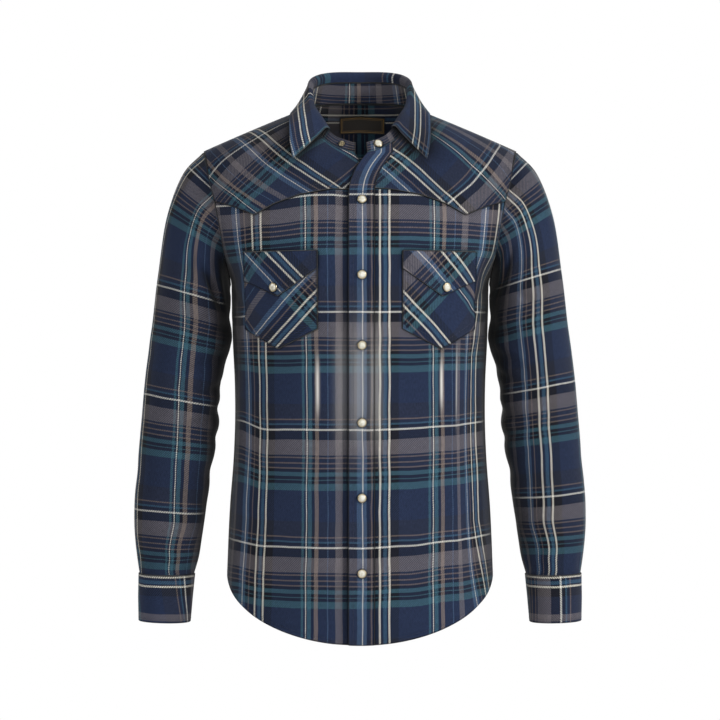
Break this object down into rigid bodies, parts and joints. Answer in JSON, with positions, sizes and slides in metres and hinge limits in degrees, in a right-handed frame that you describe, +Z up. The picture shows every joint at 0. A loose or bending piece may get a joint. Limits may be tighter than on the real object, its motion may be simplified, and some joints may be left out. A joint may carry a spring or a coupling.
{
  "type": "western snap shirt",
  "caption": "Long-sleeved plaid western shirt with pointed yokes, flap pockets, a turned-down collar and snap front, filled out as if worn.",
  "frame": {"origin": "middle of the neck, level with the neck ends of the shoulder seams, where the wearer's neck and shoulders hold the shirt", "axes": "+Z up through the collar, the front faces -Y, and the wearer's left is +X"},
  "size_m": [0.625, 0.2571, 0.7984],
  "materials": {
    "plaid_cloth": "brushed twill flannel in a navy, teal, grey-brown and cream plaid on the straight grain",
    "bias_plaid_cloth": "the same brushed twill plaid cut on the bias",
    "snap_pearl": "pearl cap in a pale brass ring",
    "snap_metal": "polished pale brass stud",
    "label_cloth": "plain dark woven label with a gold border"
  },
  "bodies": {
    "root": {"front_left": "plaid_cloth", "front_right": "plaid_cloth", "back": "plaid_cloth", "placket_left": "plaid_cloth", "sleeve_left": "plaid_cloth", "sleeve_right": "plaid_cloth", "cuff_left": "plaid_cloth", "cuff_right": "plaid_cloth", "sleeve_placket_left": "plaid_cloth", "sleeve_placket_right": "plaid_cloth", "collar_stand": "plaid_cloth", "collar_leaf": "plaid_cloth", "front_yoke_left": "bias_plaid_cloth", "front_yoke_right": "bias_plaid_cloth", "back_yoke": "bias_plaid_cloth", "pocket_left": "bias_plaid_cloth", "pocket_right": "bias_plaid_cloth", "pocket_flap_left": "bias_plaid_cloth", "pocket_flap_right": "bias_plaid_cloth", "snap_front_1": "snap_pearl", "snap_front_2": "snap_pearl", "snap_front_3": "snap_pearl", "snap_front_4": "snap_pearl", "snap_front_5": "snap_pearl", "snap_front_6": "snap_pearl", "snap_flap_left": "snap_pearl", "snap_flap_right": "snap_pearl", "snap_collar_cap": "snap_pearl", "snap_cuff_left_1": "snap_pearl", "snap_cuff_left_2": "snap_pearl", "snap_cuff_right_1": "snap_pearl", "snap_cuff_right_2": "snap_pearl", "snap_sleeve_left": "snap_pearl", "snap_sleeve_right": "snap_pearl", "snap_collar_stud": "snap_metal", "neck_label": "label_cloth"}
  },
  "joints": []
}
